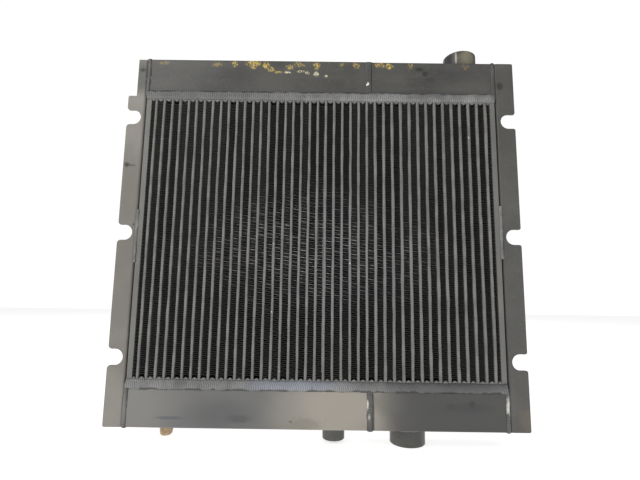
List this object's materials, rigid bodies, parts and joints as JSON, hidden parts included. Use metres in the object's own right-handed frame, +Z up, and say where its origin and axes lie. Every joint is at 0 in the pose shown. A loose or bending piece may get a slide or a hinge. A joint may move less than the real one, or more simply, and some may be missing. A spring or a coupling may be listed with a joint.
{
  "type": "hydraulic oil cooler",
  "caption": "Two-circuit bar-and-plate hydraulic oil cooler with welded header tanks, threaded ports, a drain plug and slotted side flanges",
  "frame": {"origin": "middle of the core, on its mid-plane", "axes": "+X across the core to the right-hand circuit, +Y from the front face to the back, +Z up along the oil channels"},
  "size_m": [0.5725, 0.084, 0.5759],
  "materials": {
    "tank_paint": "satin",
    "core_paint": "satin",
    "weld_paint": "satin",
    "fin_black": "matte",
    "bare_aluminium": "satin",
    "plug_brass": "satin",
    "washer_metal": "satin"
  },
  "bodies": {
    "cooler": {"air_bars_bottom": "core_paint", "air_bars_top": "core_paint", "air_fins_left": "fin_black", "air_fins_right": "fin_black", "bottom_divider_plate": "tank_paint", "bottom_port": "tank_paint", "bottom_tank_left": "tank_paint", "bottom_tank_right": "tank_paint", "dead_channel_bar": "core_paint", "drain_bung": "tank_paint", "end_cap_bottom_left": "tank_paint", "end_cap_bottom_right": "tank_paint", "end_cap_top_left": "tank_paint", "end_cap_top_right": "tank_paint", "flange_left": "tank_paint", "flange_right": "tank_paint", "middle_port": "tank_paint", "oil_bars_front": "core_paint", "oil_bars_rear": "core_paint", "oil_turbulators": "bare_aluminium", "parting_sheets": "core_paint", "rear_port": "tank_paint", "side_plate_left": "core_paint", "side_plate_right": "core_paint", "top_divider_plate": "tank_paint", "top_port": "tank_paint", "top_tank_left": "tank_paint", "top_tank_right": "tank_paint", "weld_cap_bottom_left": "weld_paint", "weld_cap_bottom_right": "weld_paint", "weld_cap_top_left": "weld_paint", "weld_cap_top_right": "weld_paint", "weld_core_bottom_front": "weld_paint", "weld_core_bottom_rear": "weld_paint", "weld_core_top_front": "weld_paint", "weld_core_top_rear": "weld_paint", "weld_divider_bottom": "weld_paint", "weld_divider_top": "weld_paint", "weld_flange_ends": "weld_paint", "weld_flange_stitches": "weld_paint", "weld_ports": "weld_paint"},
    "drain_washer": {"drain_washer": "washer_metal"},
    "drain_plug": {"drain_plug": "plug_brass"}
  },
  "joints": [
    {"name": "drain_plug_travel", "type": "slide", "parent": "cooler", "child": "drain_washer", "axis": [0, 0, -1], "range_m": [0, 0.0135]},
    {"name": "drain_plug_turn", "type": "hinge", "parent": "drain_washer", "child": "drain_plug", "pos_m": [-0.2105, 0, -0.2697], "axis": [0, 0, -1], "range_deg": [0, 3240.5]}
  ],
  "couplings": [
    {"joint": "drain_plug_turn", "follows": "drain_plug_travel", "rad_per_m": 4188.8}
  ]
}
